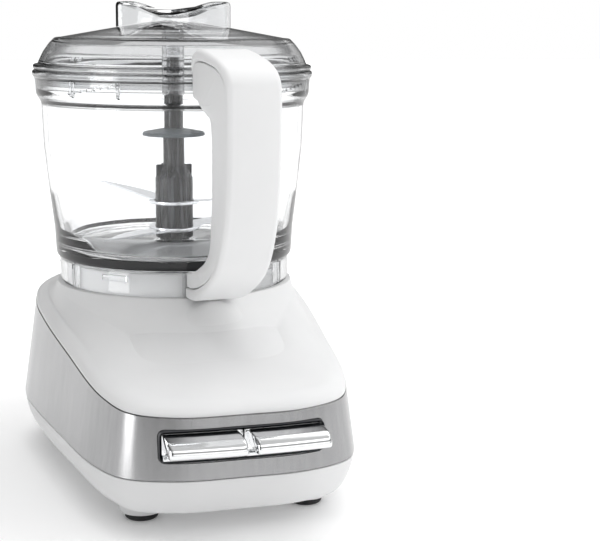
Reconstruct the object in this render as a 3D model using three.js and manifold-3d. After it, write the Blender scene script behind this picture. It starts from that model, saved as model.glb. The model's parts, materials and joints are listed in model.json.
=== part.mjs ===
// Four-cup mini food processor: motor base, clear bowl with a hollow handle, clear lid and blade.
// Millimetres, +Z up. Pieces are drawn about the bowl's axis, x = y = 0; the control panel faces -Y.
import * as THREE from 'three';
import { mergeVertices } from 'three/addons/utils/BufferGeometryUtils.js';
import Module from 'manifold-3d';

const wasm = await Module();
wasm.setup();

// ---------------------------------------------------------------- driving dimensions
const GAP = 0.3;                      // clearance between pieces that touch
const SEG = 36;                       // sides of the large round pieces
const RIM_R = 70;                     // bowl rim flange, the widest circle of the bowl
const RIM_Z = 194.5;                  // top of the bowl rim
const SEAT_R = 59.6;                  // circle on the base where the bowl stands
const SEAT_Z = 88.4;
const BOSS_R = 53;                    // raised boss of the base inside the bowl's skirt
const BOSS_Z = 100;
const FLOOR_Z = 9;                    // underside of the housing
const WALL = 2.5;                     // housing and cover wall
const BAND_Z0 = 26.9;                 // lower edge of the steel band
const BAND_FRONT_Z = 52.9;            // its upper edge at the front and at the back
const BAND_BACK_Z = 82;
const BAND_BACK_Y = 68;
const LEAN = Math.tan(THREE.MathUtils.degToRad(8));
const SHEET = 0.9;                    // steel band thickness
const HANDLE_TURN = THREE.MathUtils.degToRad(4.5);   // the locked handle stands a little past centre
const HANDLE_W = 25;
const HANDLE_R = 124.5;               // outer face of the handle, from the bowl's axis
const WINDOW = { x: 36.9, z0: 34.4, z1: 48.8, r: 3 }; // opening for the two paddles
const FRONT_Y = -144;
const FRONT_ARC_R = 360;              // plan radius of the gently bowed front
const GEAR = { module: 1.36, teeth: 40, z0: 18, z1: 26 };
const PINION_TEETH = 10;
const MOTOR_Y = -GEAR.module * (GEAR.teeth + PINION_TEETH) / 2;
const FEET = [['fl', -38.4, -107], ['fr', 38.4, -107], ['bl', -47, 34], ['br', 47, 34]];
const SCREWS = [['fl', -44, -84], ['fr', 44, -84], ['bl', -54, 12], ['br', 54, 12]];
const SCREW_HEAD_Z = 14.5;             // top of the housing screws' counterbores
const PIN = { r0: 61, r1: 64, half: 1.8, z: 72.8 };  // the interlock rod's pin, down to its switch
const BOARD_Z = 14;                    // lower edge of the circuit board
const PLATE_LEGS = [[-32, -62], [32, -62], [-32, 32], [32, 32]];

// ---------------------------------------------------------------- materials
const finish = (color, roughness, metalness, opacity = 1) =>
  new THREE.MeshStandardMaterial({ color, roughness, metalness, opacity, transparent: opacity < 1 });
const WHITE = finish(0xf4f4f2, 0.25, 0);
const CLEAR = finish(0xdfe3e6, 0.08, 0, 0.35);
const STEEL_BAND = finish(0xa9abad, 0.35, 1);
const CHROME = finish(0xe6e8ea, 0.06, 1);
const BLADE_STEEL = finish(0xc4c8cc, 0.2, 1);
const MACHINED = finish(0x8f9499, 0.4, 1);
const DARK = finish(0x35373a, 0.45, 0);
const RUBBER = finish(0x17181a, 0.85, 0);
const COPPER = finish(0xb06a3c, 0.4, 1);
const BOARD = finish(0x2d6a43, 0.6, 0);
const BRASS = finish(0xc9a45a, 0.35, 1);
const NYLON = finish(0xe9e4d4, 0.5, 0);

// ---------------------------------------------------------------- solids
// A closed geometry as a solid with its faces outward.
function solid(geometry) {
  let g = geometry.index ? geometry : mergeVertices(geometry);
  g.deleteAttribute('normal');
  g.deleteAttribute('uv');
  g = mergeVertices(g, 1e-4);
  const p = g.attributes.position.array;
  const keep = [];
  for (let i = 0; i < g.index.count; i += 3) {
    const t = [g.index.array[i], g.index.array[i + 1], g.index.array[i + 2]];
    if (t[0] !== t[1] && t[1] !== t[2] && t[2] !== t[0]) keep.push(...t);
  }
  let volume = 0;
  const at = (i) => new THREE.Vector3(p[3 * i], p[3 * i + 1], p[3 * i + 2]);
  for (let i = 0; i < keep.length; i += 3) {
    volume += at(keep[i]).dot(at(keep[i + 1]).cross(at(keep[i + 2])));
  }
  if (volume < 0) for (let i = 0; i < keep.length; i += 3) [keep[i], keep[i + 1]] = [keep[i + 1], keep[i]];
  return new wasm.Manifold(new wasm.Mesh({
    numProp: 3, vertProperties: new Float32Array(p), triVerts: new Uint32Array(keep) }));
}

const join = (first, ...rest) => rest.reduce((a, b) => a.add(b), first);
const cut = (first, ...rest) => rest.reduce((a, b) => a.subtract(b), first);

function box(x0, x1, y0, y1, z0, z1) {
  const g = new THREE.BoxGeometry(x1 - x0, y1 - y0, z1 - z0);
  g.translate((x0 + x1) / 2, (y0 + y1) / 2, (z0 + z1) / 2);
  return solid(g);
}

// A round bar from z0 to z1.
function post(r, z0, z1, x = 0, y = 0, sides = 16, topR = r) {
  const g = new THREE.CylinderGeometry(topR, r, z1 - z0, sides);
  g.rotateX(Math.PI / 2);
  g.translate(x, y, (z0 + z1) / 2);
  return solid(g);
}

// A washer or tube standing on z.
const tube = (rOut, rIn, z0, z1, x = 0, y = 0, sides = 20) =>
  cut(post(rOut, z0, z1, x, y, sides), post(rIn, z0 - 1, z1 + 1, x, y, sides));

// A solid of revolution about Z from [r, z] points; a profile off the axis closes on itself.
function turned(points, sides = SEG) {
  const onAxis = points[0][0] === 0;
  const list = onAxis ? points : [...points, points[0]];
  const g = new THREE.LatheGeometry(list.map(([r, z]) => new THREE.Vector2(r, z)), sides);
  g.rotateX(Math.PI / 2);
  return solid(g);
}

// Skin over rings of equal length: closed on itself like a tyre, or capped at both ends.
function loft(rings, closed) {
  const n = rings[0].length;
  const points = rings.flat();
  const index = [];
  const last = closed ? rings.length : rings.length - 1;
  for (let k = 0; k < last; k++) {
    const a = k * n;
    const b = ((k + 1) % rings.length) * n;
    for (let i = 0; i < n; i++) {
      const j = (i + 1) % n;
      index.push(a + i, a + j, b + j, a + i, b + j, b + i);
    }
  }
  if (!closed) {
    for (const [ring, flip] of [[0, true], [rings.length - 1, false]]) {
      const centre = points.length;
      points.push(rings[ring].reduce((s, v) => s.clone().add(v), new THREE.Vector3()).divideScalar(n));
      for (let i = 0; i < n; i++) {
        const a = ring * n + i;
        const b = ring * n + (i + 1) % n;
        index.push(...(flip ? [centre, b, a] : [centre, a, b]));
      }
    }
  }
  const g = new THREE.BufferGeometry().setFromPoints(points);
  g.setIndex(index);
  return solid(g);
}

// A plate whose outline lies in XY, from z0 to z1, with an optional rounded edge.
function plate(shape, z0, z1, edge = 0, curveSegments = 6) {
  const g = new THREE.ExtrudeGeometry(shape, {
    depth: z1 - z0 - 2 * edge, curveSegments, bevelEnabled: edge > 0,
    bevelThickness: edge, bevelSize: edge, bevelOffset: -edge, bevelSegments: 2 });
  g.translate(0, 0, z0 + edge);
  return solid(g);
}

const outlineOf = (points) => new THREE.Shape(points.map(([x, y]) => new THREE.Vector2(x, y)));

function roundedRect(x0, x1, y0, y1, r) {
  const s = new THREE.Shape();
  s.moveTo(x0 + r, y0);
  s.lineTo(x1 - r, y0);
  s.absarc(x1 - r, y0 + r, r, -Math.PI / 2, 0);
  s.lineTo(x1, y1 - r);
  s.absarc(x1 - r, y1 - r, r, 0, Math.PI / 2);
  s.lineTo(x0 + r, y1);
  s.absarc(x0 + r, y1 - r, r, Math.PI / 2, Math.PI);
  s.lineTo(x0, y0 + r);
  s.absarc(x0 + r, y0 + r, r, Math.PI, Math.PI * 1.5);
  return s;
}

// An outline in XZ pushed along Y, from y0 to y1.
const pushedY = (shape, y0, y1) => plate(shape, -y1, -y0).rotate([90, 0, 0]);

// A coil spring along +Z from z0 to z1.
function coil(radius, wire, z0, z1, turns) {
  class Helix extends THREE.Curve {
    getPoint(t, v = new THREE.Vector3()) {
      const a = 2 * Math.PI * turns * t;
      return v.set(radius * Math.cos(a), radius * Math.sin(a), z0 + wire + (z1 - z0 - 2 * wire) * t);
    }
  }
  const section = new THREE.Shape();
  section.absarc(0, 0, wire, 0, 2 * Math.PI);
  return solid(new THREE.ExtrudeGeometry(section, {
    steps: Math.round(8 * turns), curveSegments: 3, bevelEnabled: false, extrudePath: new Helix() }));
}

// ---------------------------------------------------------------- the base's plan outline
const HALF_PLAN = [[0, FRONT_Y], [28, -142.8], [50, -133], [60, -112.5], [69, -57], [75, -8],
  [76, 16], [71, 43], [50, 66], [22, 73.5], [0, 74.2]];
const PLAN_POINTS = 44;
const planCurve = new THREE.CatmullRomCurve3(
  [...HALF_PLAN, ...HALF_PLAN.slice(1, -1).reverse().map(([x, y]) => [-x, y])]
    .map(([x, y]) => new THREE.Vector3(x, y, 0)), true, 'centripetal');
const plan = planCurve.getSpacedPoints(PLAN_POINTS).slice(0, PLAN_POINTS);
const planNormal = plan.map((p, i) => {
  const t = plan[(i + 1) % PLAN_POINTS].clone().sub(plan[(i + PLAN_POINTS - 1) % PLAN_POINTS]);
  return new THREE.Vector3(t.y, -t.x, 0).normalize();
});

// Height of the steel band's upper edge, a plane that rises to the back.
const bandTop = (y) => BAND_FRONT_Z + (y - FRONT_Y) * (BAND_BACK_Z - BAND_FRONT_Z) / (BAND_BACK_Y - FRONT_Y);
const lean = (z) => Math.max(0, z - BAND_Z0) * LEAN;

// The outline moved in by inset, at a height that may depend on y.
function planRing(inset, height) {
  return plan.map((p, i) => {
    const moved = (d) => p.clone().addScaledVector(planNormal[i], -d);
    const heightAt = (q) => (typeof height === 'function' ? height(q.y) : height);
    const near = moved(inset + lean(heightAt(moved(inset))));
    return near.setZ(heightAt(near));
  });
}

// A circle sampled at the same directions as the plan outline.
const circleRing = (r, z) => plan.map((p) => {
  const a = Math.atan2(p.y, p.x);
  return new THREE.Vector3(r * Math.cos(a), r * Math.sin(a), z);
});

const mixRings = (a, b, t, drop = 0) => a.map((p, i) => {
  const q = p.clone().lerp(b[i], t);
  q.z -= drop * p.distanceTo(b[i]);
  return q;
});

const frontY = (x, z) => FRONT_Y + lean(z) + x * x / (2 * FRONT_ARC_R);

// The paddles' opening, as a cutter grown by a margin.
function windowCutter(margin = 0) {
  const w = WINDOW;
  return pushedY(roundedRect(-w.x - margin, w.x + margin, w.z0 - margin, w.z1 + margin, w.r),
    FRONT_Y - 5, -124);
}

// ---------------------------------------------------------------- base
function makeHousing() {
  const wallTop = (y) => bandTop(y) - 1;
  const behindBand = SHEET + GAP;
  let shell = cut(
    loft([planRing(15, FLOOR_Z), planRing(8, FLOOR_Z + 0.7), planRing(3.6, 14.5), planRing(1.2, 20.5),
      planRing(0.2, BAND_Z0 - GAP), planRing(behindBand, BAND_Z0 - GAP + 0.01),
      planRing(behindBand, wallTop)]),
    loft([planRing(15 + WALL, FLOOR_Z + WALL), planRing(7 + WALL, FLOOR_Z + WALL + 1),
      planRing(3.8 + WALL, 16), planRing(behindBand + WALL, BAND_Z0),
      planRing(behindBand + WALL, wallTop), planRing(behindBand + WALL, (y) => wallTop(y) + 5)]),
    windowCutter());
  for (const [, x, y] of FEET) {
    shell = join(shell, post(9.8, 3, FLOOR_Z + WALL, x, y, 16, 11));
    shell = cut(shell, post(8.3, 2, 4.8, x, y, 16));
  }
  for (const [, x, y] of SCREWS) {
    shell = join(shell, post(5.5, FLOOR_Z + 1, 24, x, y, 10));
    shell = cut(shell, post(3.6, FLOOR_Z - 1, SCREW_HEAD_Z, x, y, 10), post(1.9, 13, 25, x, y, 8));
  }
  shell = join(shell, tube(9.5, 7.3, FLOOR_Z + 1, 16.5, 0, 0, 20));      // spindle bearing cup
  shell = join(shell, box(-33, 33, -116, -110, FLOOR_Z + 1, 16));       // rib that holds the board
  shell = cut(shell, box(-34.3, 34.3, -113, -111, BOARD_Z - GAP, 17));
  const inlet = new THREE.CylinderGeometry(5.3, 5.3, 20, 18);
  inlet.translate(0, 72, 16);
  return cut(shell, solid(inlet));
}

function makeBand() {
  const sheet = loft([planRing(0, BAND_Z0), planRing(0, bandTop), planRing(SHEET, bandTop),
    planRing(SHEET, BAND_Z0)], true);
  return cut(sheet, windowCutter());
}

function makeCover() {
  const edge = (inset, up) => planRing(inset, (y) => bandTop(y) + up);
  const seat = circleRing(SEAT_R, SEAT_Z);
  const shoulder = edge(5.5, 5);
  const crease = mixRings(seat, shoulder, 0.27, 0.14);
  const outer = [edge(0, GAP), edge(0.6, 2), edge(2.2, 3.8), shoulder,
    mixRings(crease, shoulder, 0.5, -0.02), crease, mixRings(seat, shoulder, 0.1, 0.05), seat,
    circleRing(BOSS_R + 0.6, SEAT_Z), circleRing(BOSS_R, BOSS_Z - 1.5), circleRing(BOSS_R - 1.5, BOSS_Z),
    circleRing(8.3, BOSS_Z)];
  const inner = [circleRing(8.3, BOSS_Z - 8), circleRing(12, BOSS_Z - 8), circleRing(12, BOSS_Z - WALL),
    circleRing(BOSS_R - WALL - 1, BOSS_Z - WALL), circleRing(BOSS_R - WALL, SEAT_Z - WALL),
    circleRing(SEAT_R - 2.4, SEAT_Z - WALL - 1)];
  const lowered = (ring, down, inset) => ring.map((p, i) =>
    p.clone().addScaledVector(planNormal[i], -inset).setZ(p.z - down));
  const insideBand = SHEET + GAP;
  const insideWall = insideBand + WALL + GAP;
  inner.push(lowered(crease, 3, 0.8), lowered(shoulder, 3, 0.6), edge(insideWall, -3),
    edge(insideWall, -0.7), edge(insideBand, -0.7), edge(insideBand, GAP));
  let cover = loft([...outer, ...inner], true);
  for (const [, x, y] of SCREWS) {
    const top = y < 0 ? 65.5 : SEAT_Z - 1;
    cover = join(cover, cut(post(4.5, 24 + GAP, top, x, y, 10), post(1.9, 20, 40, x, y, 8)));
  }
  const pinHole = handleFrame(box(PIN.r0 - 0.5, PIN.r1 + 0.5, -PIN.half - 0.5, PIN.half + 0.5, 60, 95));
  return cut(cover, pinHole);
}

function makeFoot(x, y) {
  return turned([[0, 0], [6.8, 0], [7.6, 0.8], [8, 4.5], [0, 4.5]], 16).translate([x, y, 0]);
}

function makeHousingScrew(x, y) {
  const head = post(3.1, FLOOR_Z + 2.5, SCREW_HEAD_Z - GAP, x, y, 10);
  return join(head, post(1.5, SCREW_HEAD_Z - 1, 36, x, y, 8));
}

function makeGland() {
  const barrel = new THREE.CylinderGeometry(5, 5, 10, 16);
  barrel.translate(0, 70, 16);
  const flange = new THREE.CylinderGeometry(6.4, 7.2, 2, 16);
  flange.translate(0, 74.6, 16);
  const bore = new THREE.CylinderGeometry(3.2, 3.2, 30, 14);
  bore.translate(0, 72, 16);
  return cut(join(solid(barrel), solid(flange)), solid(bore));
}

// ---------------------------------------------------------------- paddles
// A section of [outward, z] points swept along the bowed front from x0 to x1.
function alongFront(section, x0, x1, stations = 7) {
  const rings = [];
  for (let k = 0; k < stations; k++) {
    const x = THREE.MathUtils.lerp(x0, x1, k / (stations - 1));
    rings.push(section.map(([out, z]) => new THREE.Vector3(x, frontY(x, 41.5) - out, z)));
  }
  return loft(rings, false);
}

function makeBezel() {
  const w = WINDOW;
  const frame = alongFront([[-0.2, w.z0 + GAP], [-0.2, w.z1 - GAP], [-14, w.z1 - GAP], [-14, w.z0 + GAP]],
    -w.x + GAP, w.x - GAP, 9);
  const wall = 0.9;
  const pocket = alongFront([[4, w.z0 + GAP + wall], [4, w.z1 - GAP - wall], [-12, w.z1 - GAP - wall],
    [-12, w.z0 + GAP + wall]], -w.x + GAP + wall, w.x - GAP - wall, 9);
  const corner = pushedY(roundedRect(-w.x + GAP, w.x - GAP, w.z0 + GAP, w.z1 - GAP, w.r - GAP), -150, -120);
  return cut(frame.intersect(corner), pocket, stemBar(-STEM_X, 2.1, 20), stemBar(STEM_X, 2.1, 20));
}

// A round bar along Y at the height of the paddles.
function stemBar(x, r, length, y1 = -120) {
  const g = new THREE.CylinderGeometry(r, r, length, 12);
  g.translate(x, y1 - length / 2, 41.6);
  return solid(g);
}

const STEM_X = 18.6;
const PADDLE_BACK = -4;
const BARREL = { inner: 2.2, outer: 35.2,
  section: [[PADDLE_BACK, 40.2], [13.4, 40.2], [15.8, 41], [16.2, 42.6], [15.2, 45], [11.6, 46.6],
    [PADDLE_BACK, 47.1]] };
const LIP = { inner: 0.4, outer: 35.3,
  section: [[PADDLE_BACK, 36.4], [1.2, 36.4], [2.2, 37.2], [2, 38.4], [-0.8, 38.8], [-0.8, 47.1],
    [PADDLE_BACK, 47.1]] };

// A key with a long barrel that stands proud, on a plate with a low lip.
function makePaddle(side) {
  const sweep = ({ section, inner, outer }) =>
    alongFront(section, side < 0 ? -outer : inner, side < 0 ? -inner : outer);
  return join(sweep(BARREL), sweep(LIP), stemBar(side * STEM_X, 1.7, 14.5, -123.5));
}

function makePaddleSpring(side) {
  return coil(2.9, 0.35, 0, 7, 4).rotate([-90, 0, 0]).translate([side * STEM_X, -137, 41.6]);
}

function makeSwitch(side) {
  return box(side * STEM_X - 5, side * STEM_X + 5, -120.8, -113, 33, 47);
}

// ---------------------------------------------------------------- drive
function gearShape(teeth, addendum, dedendum, width) {
  const pitchR = GEAR.module * teeth / 2;
  const points = [];
  for (let i = 0; i < teeth; i++) {
    const a = 2 * Math.PI * i / teeth;
    const half = Math.PI / teeth;
    for (const [r, f] of [[pitchR - dedendum, -width - 0.14], [pitchR + addendum, -width + 0.22],
      [pitchR + addendum, width - 0.22], [pitchR - dedendum, width + 0.14]]) {
      points.push([r * Math.cos(a + f * half), r * Math.sin(a + f * half)]);
    }
  }
  return outlineOf(points);
}

function makeGear(teeth, turn, bore, y) {
  const { z0, z1 } = GEAR;
  const g = plate(gearShape(teeth, 1, 1.6, 0.38), z0, z1).rotate([0, 0, turn]);
  return cut(g, post(bore, z0 - 1, z1 + 1, 0, 0, 16)).translate([0, y, 0]);
}

// A plain bush of 16 sides whose bore clears the round shaft between its flats.
function makeBush(rOut, shaftR, z0, z1, y) {
  const running = 0.1;
  return tube(rOut, (shaftR + running) / Math.cos(Math.PI / 16), z0, z1, 0, y, 16);
}

const SHAFT_R = 2.5;
const SPINDLE_R = 4;
const SPINDLE_FOOT_R = 3.5;            // the spindle steps down for its lower bush
const MOTOR_Z0 = 34;
const MOTOR_Z1 = 78;
const MOTOR_R = 26.5;

function makeSpindle() {
  const bar = turned([[0, 12], [SPINDLE_FOOT_R, 12], [SPINDLE_FOOT_R, 17], [SPINDLE_R, 17],
    [SPINDLE_R, 136.6], [0, 136.6]], 16);
  const dog = post(SPINDLE_R, 136, 141, 0, 0, 16).intersect(box(-5, 5, -1.5, 1.5, 135, 142));
  return join(bar, dog);
}

const makeMotorCan = () => cut(post(MOTOR_R, MOTOR_Z0, MOTOR_Z1, 0, MOTOR_Y, 28),
  post(MOTOR_R - 1.6, MOTOR_Z0 - 1, MOTOR_Z1 - 1.6, 0, MOTOR_Y, 28), post(5.4, 70, 80, 0, MOTOR_Y, 16));

const makeStator = () => tube(MOTOR_R - 2, 16.5, 41, 66, 0, MOTOR_Y, 24);

const makeEndBell = () => cut(post(MOTOR_R - 2, MOTOR_Z0, MOTOR_Z0 + 3.5, 0, MOTOR_Y, 24),
  post(5.4, 30, 40, 0, MOTOR_Y, 16));

function makeArmature() {
  const core = post(15.8, 43, 64, 0, MOTOR_Y, 24);
  let slotted = core;
  for (let i = 0; i < 6; i++) {
    const slot = box(11, 20, -1.2, 1.2, 42, 65).rotate([0, 0, i * 60]).translate([0, MOTOR_Y, 0]);
    slotted = cut(slotted, slot);
  }
  return cut(slotted, post(SHAFT_R + GAP, 40, 70, 0, MOTOR_Y, 12));
}

function makeBrush(side) {
  return box(side > 0 ? 8.4 : -14, side > 0 ? 14 : -8.4, MOTOR_Y - 2.5, MOTOR_Y + 2.5, 68, 74);
}

function makeGearPlate() {
  let p = plate(roundedRect(-38, 38, -68, 38, 8), 29.6, 33.4);
  for (const [x, y] of PLATE_LEGS) {
    p = join(p, post(4.4, FLOOR_Z + WALL + GAP, 30, x, y, 14));
    p = cut(p, post(1.9, 20, 40, x, y, 10));
  }
  return cut(p, post(6.4, 28, 36, 0, 0, 18), post(4, 28, 36, 0, MOTOR_Y, 16));
}

const makePlateScrew = (x, y) => join(post(3.2, 33.4 + GAP, 35.4, x, y, 10), post(1.5, 22, 34, x, y, 8));

// ---------------------------------------------------------------- bowl
// Turns a piece drawn along +X, with Z up, so that +X points out through the handle.
function handleFrame(piece) {
  return piece.rotate([0, 0, -90 + THREE.MathUtils.radToDeg(HANDLE_TURN)]);
}

// An outline in [r, z] pushed sideways to a full width, in the handle's plane.
function acrossHandle(points, width, edge = 0) {
  const g = plate(outlineOf(points), -width / 2, width / 2, edge);
  return handleFrame(g.rotate([90, 0, 0]));
}

function makeBowl() {
  const outer = [[58, SEAT_Z + GAP], [58.2, 102], [59.6, 102.4], [59.8, 105.8], [60.4, 115.2], [62.9, 135.5],
    [65.1, 156.7], [65.9, 179], [68.6, 183.5], [69.2, 192], [RIM_R, 192.2], [RIM_R, RIM_Z]];
  const inner = [[66.8, RIM_Z], [66.6, 185], [63.6, 180], [62.8, 156.7], [60.4, 135.5], [57, 115.6],
    [53.5, 107.6], [49, 105.2], [10, 105.2], [6.9, 107], [6.9, 135.6], [4.7, 135.6], [4.7, 102.8],
    [54.2, 102.8], [54, SEAT_Z + GAP]];
  const body = turned([...outer, ...inner]);
  const upperPad = handleFrame(box(66.5, 71.2, -8, 8, 184, 189));
  const lowerPad = handleFrame(box(55.5, 58.6, -10, 10, 90.5, 101));
  const rodNotch = handleFrame(box(67.5, 75, -3.4, 3.4, 189.3, 197));
  return cut(join(body, upperPad, lowerPad), rodNotch);
}

const HANDLE_OUTLINE = [[71.6, 183.6], [71.6, 201], [74, 205], [80, 206.6], [98, 204.6], [111, 201.8],
  [119, 198.6], [123.2, 194.6], [HANDLE_R, 189], [HANDLE_R, 165], [122.6, 145], [118.5, 128], [112, 114.6],
  [104, 105.8], [94, 99.4], [80, 93.4], [68, 90.4], [58.9, 89.8], [58.9, 101.6], [70, 103.6], [77.6, 107.4],
  [81.4, 114], [83, 125], [84.6, 140], [85.2, 160], [84.6, 174], [82, 180], [77, 183.4]];
const HANDLE_CAVITY = [[74, 187], [74, 200], [81, 203], [98, 201.2], [110, 198.6], [117.6, 195], [120.8, 188],
  [120.8, 165], [119, 146], [115, 130], [108.8, 117.4], [101.4, 109.2], [92, 102.8], [79, 96.8], [68, 93.6],
  [60, 93.2], [60, 99.6], [71, 101.6], [80.4, 106], [84.6, 113], [86.4, 125], [88, 140], [88.6, 160],
  [88, 175], [84.6, 183], [80, 187]];
const LINER = [[80.2, 110.8], [83, 125], [84.6, 140], [85.2, 160], [84.6, 174], [83.4, 177], [91, 177],
  [91.6, 160], [91, 140], [89.4, 125], [87, 110.8]];

function makeHandleShell() {
  const slot = LINER.map(([r, z]) => [r < 87 ? r - 6 : r, z]);
  const shell = cut(acrossHandle(HANDLE_OUTLINE, HANDLE_W, 2.4), acrossHandle(HANDLE_CAVITY, 18.6),
    acrossHandle(slot, 18.6));
  const rodMouth = handleFrame(box(70, 76, -3.4, 3.4, 189.3, 198));
  const pinMouth = handleFrame(box(PIN.r0 - 0.4, PIN.r1 + 0.4, -3.4, 3.4, 85, 95.5));
  return cut(shell, rodMouth, pinMouth);
}

function makeHandleLiner() {
  const body = acrossHandle(LINER.map(([r, z]) => [r, THREE.MathUtils.clamp(z, 110.8 + GAP, 177 - GAP)]),
    18.6 - 2 * GAP);
  const hollow = handleFrame(box(87.8, 94, -7, 7, 108, 180));
  return cut(body, hollow);
}

const ROD = { r0: 97, r1: 101 };

function makeRod() {
  return acrossHandle([[68.2, 190], [68.2, 194.3], [71, 194.3], [74, 192.4], [ROD.r1, 192.4], [ROD.r1, 122],
    [96.8, 110.4], [87.8, 101.8], [79.2, 97.6], [69, 95.2], [PIN.r1, 95.2], [PIN.r1, PIN.z],
    [PIN.r0, PIN.z], [PIN.r0, 96.8], [77.6, 99.5], [86, 103.8], [93.4, 111.6], [ROD.r0, 122.8],
    [ROD.r0, 190]], 2 * PIN.half);
}

function makeRodSpring() {
  return handleFrame(coil(3.2, 0.4, 0, 7, 3.5).translate([106.5, 0, 150]));
}

// ---------------------------------------------------------------- lid
const LID_TOP = [[69.5, 194.8], [69.5, 197.1], [67.2, 197.4], [66.2, 199.6], [64.2, 203.6], [61.4, 207.4],
  [58.3, 210], [56.4, 210.3], [30, 215], [8, 218.4], [0, 219]];

function makeLid() {
  const under = [[0, 216.6], [3.5, 216.4], [3.5, 179.2], [5.6, 179.2], [5.6, 214.6], [30, 212.8],
    [56, 208], [59, 206.4], [62.2, 201.8], [64, 197.6], [64, 187.4], [66.2, 187.4], [66.2, 194.8]];
  return turned([...LID_TOP.slice().reverse(), ...under.slice().reverse()].reverse());
}

const KNOB = { reach: 28.6, sway: 8.5, half: 8, top: 228 };

// The S-shaped grip: two lobes that bend opposite ways, lower in the middle.
function makeKnob() {
  const upper = [];
  const lower = [];
  const steps = 14;
  for (let i = 0; i <= steps; i++) {
    const t = -1 + 2 * i / steps;
    const x = KNOB.reach * t;
    const half = KNOB.half * Math.sqrt(Math.max(0.05, 1 - Math.abs(t) ** 5));
    const y = -KNOB.sway * Math.sin(Math.PI * t);
    upper.push([x, y + half]);
    lower.unshift([x, y - half]);
  }
  const shape = outlineOf([...upper, ...lower]);
  const inner = outlineOf([...upper.slice(1, -1).map(([x, y]) => [x * 0.95, y - 2.2]),
    ...lower.slice(1, -1).map(([x, y]) => [x * 0.95, y + 2.2])]);
  const grip = cut(plate(shape, 205, KNOB.top, 1), plate(inner, 200, KNOB.top - 2.4));
  const raised = turned([[0, 150], [RIM_R, 150], ...LID_TOP.map(([r, z]) => [r, z + GAP])], SEG);
  return cut(grip, raised);
}

// ---------------------------------------------------------------- blade
function makeHub() {
  const body = turned([[0, 203], [2.4, 203], [3.1, 201], [3.1, 178.6], [4.4, 178.2], [4.4, 165.4],
    [15.5, 163.4], [16, 161.6], [5.4, 160.6], [5.4, 146], [9.6, 140], [9.6, 107.6], [7.3, 107.6], [7.3, 137],
    [0, 137]], 20);
  return cut(body, box(-4.4, 4.4, -1.8, 1.8, 135, 141.4));
}

// Two curved cutting arms on a collar around the hub.
function makeBlade(z, turn, tilt) {
  const arm = new THREE.Shape();
  arm.moveTo(6, -6);
  arm.quadraticCurveTo(34, -11, 52, 3);
  arm.quadraticCurveTo(30, 3, 6, 7);
  const one = plate(arm, 0, 1.2, 0, 7).rotate([0, tilt, 0]);
  const collar = post(13, -0.2, 1.8, 0, 0, 20);
  const both = join(collar, one, one.rotate([0, 0, 180]));
  return cut(both, post(9.9, -10, 10, 0, 0, 20)).rotate([0, 0, turn]).translate([0, 0, z]);
}

// ---------------------------------------------------------------- assembly
const assembly = new THREE.Group();

function add(name, piece, material) {
  const { vertProperties, triVerts } = piece.getMesh();
  const g = new THREE.BufferGeometry();
  g.setAttribute('position', new THREE.BufferAttribute(new Float32Array(vertProperties), 3));
  g.setIndex(new THREE.BufferAttribute(new Uint32Array(triVerts), 1));
  const mesh = new THREE.Mesh(g, material);
  mesh.name = name;
  assembly.add(mesh);
}

add('housing', makeHousing(), WHITE);
add('steel_band', makeBand(), STEEL_BAND);
add('top_cover', makeCover(), WHITE);
for (const [id, x, y] of FEET) add(`foot_${id}`, makeFoot(x, y), RUBBER);
for (const [id, x, y] of SCREWS) add(`housing_screw_${id}`, makeHousingScrew(x, y), MACHINED);
add('cord_gland', makeGland(), RUBBER);
add('button_bezel', makeBezel(), DARK);
for (const [name, side] of [['chop', -1], ['grind', 1]]) {
  add(`${name}_paddle`, makePaddle(side), CHROME);
  add(`${name}_spring`, makePaddleSpring(side), MACHINED);
  add(`${name}_switch`, makeSwitch(side), DARK);
}
add('circuit_board', box(-33.5, 33.5, -112.7, -111.3, BOARD_Z, 46), BOARD);
add('relay', box(-24, -6, -111, -98, 20, 36), DARK);
add('capacitor', stemBar(14, 6, 14, -97).translate([0, 0, -14]), COPPER);

add('motor_can', makeMotorCan(), MACHINED);
add('stator', makeStator(), DARK);
add('end_bell', makeEndBell(), DARK);
add('motor_bush_lower', makeBush(5.1, SHAFT_R, MOTOR_Z0, MOTOR_Z0 + 5, MOTOR_Y), BRASS);
add('motor_bush_upper', makeBush(5.1, SHAFT_R, 75.4, 79.4, MOTOR_Y), BRASS);
add('brush_left', makeBrush(-1), DARK);
add('brush_right', makeBrush(1), DARK);
add('motor_shaft', post(SHAFT_R, 16, 80.5, 0, MOTOR_Y, 16), MACHINED);
add('armature', makeArmature(), COPPER);
add('commutator', tube(8, SHAFT_R + GAP, 67, 74.6, 0, MOTOR_Y, 16), COPPER);
add('pinion', makeGear(PINION_TEETH, 90 + 180 / PINION_TEETH, SHAFT_R + GAP, MOTOR_Y), BRASS);
add('gear_plate', makeGearPlate(), MACHINED);
PLATE_LEGS.forEach(([x, y], i) => add(`plate_screw_${i + 1}`, makePlateScrew(x, y), MACHINED));

add('spindle', makeSpindle(), MACHINED);
add('spindle_gear', makeGear(GEAR.teeth, 90, SPINDLE_R + GAP, 0), NYLON);
add('spindle_bush_lower', makeBush(7, SPINDLE_FOOT_R, FLOOR_Z + WALL + GAP, 16.5, 0), BRASS);
add('spindle_bush_upper', makeBush(6.1, SPINDLE_R, 29, 37, 0), BRASS);
add('spindle_seal', turned([[8, 92.5], [8, 100.3], [10.4, 100.3], [10.4, 101.6], [5, 102.3], [4.4, 101.6],
  [4.4, 92.5]], 20), RUBBER);
add('safety_switch', handleFrame(box(61.2, 68.5, -5, 5, 58, 72.4)), DARK);

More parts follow.
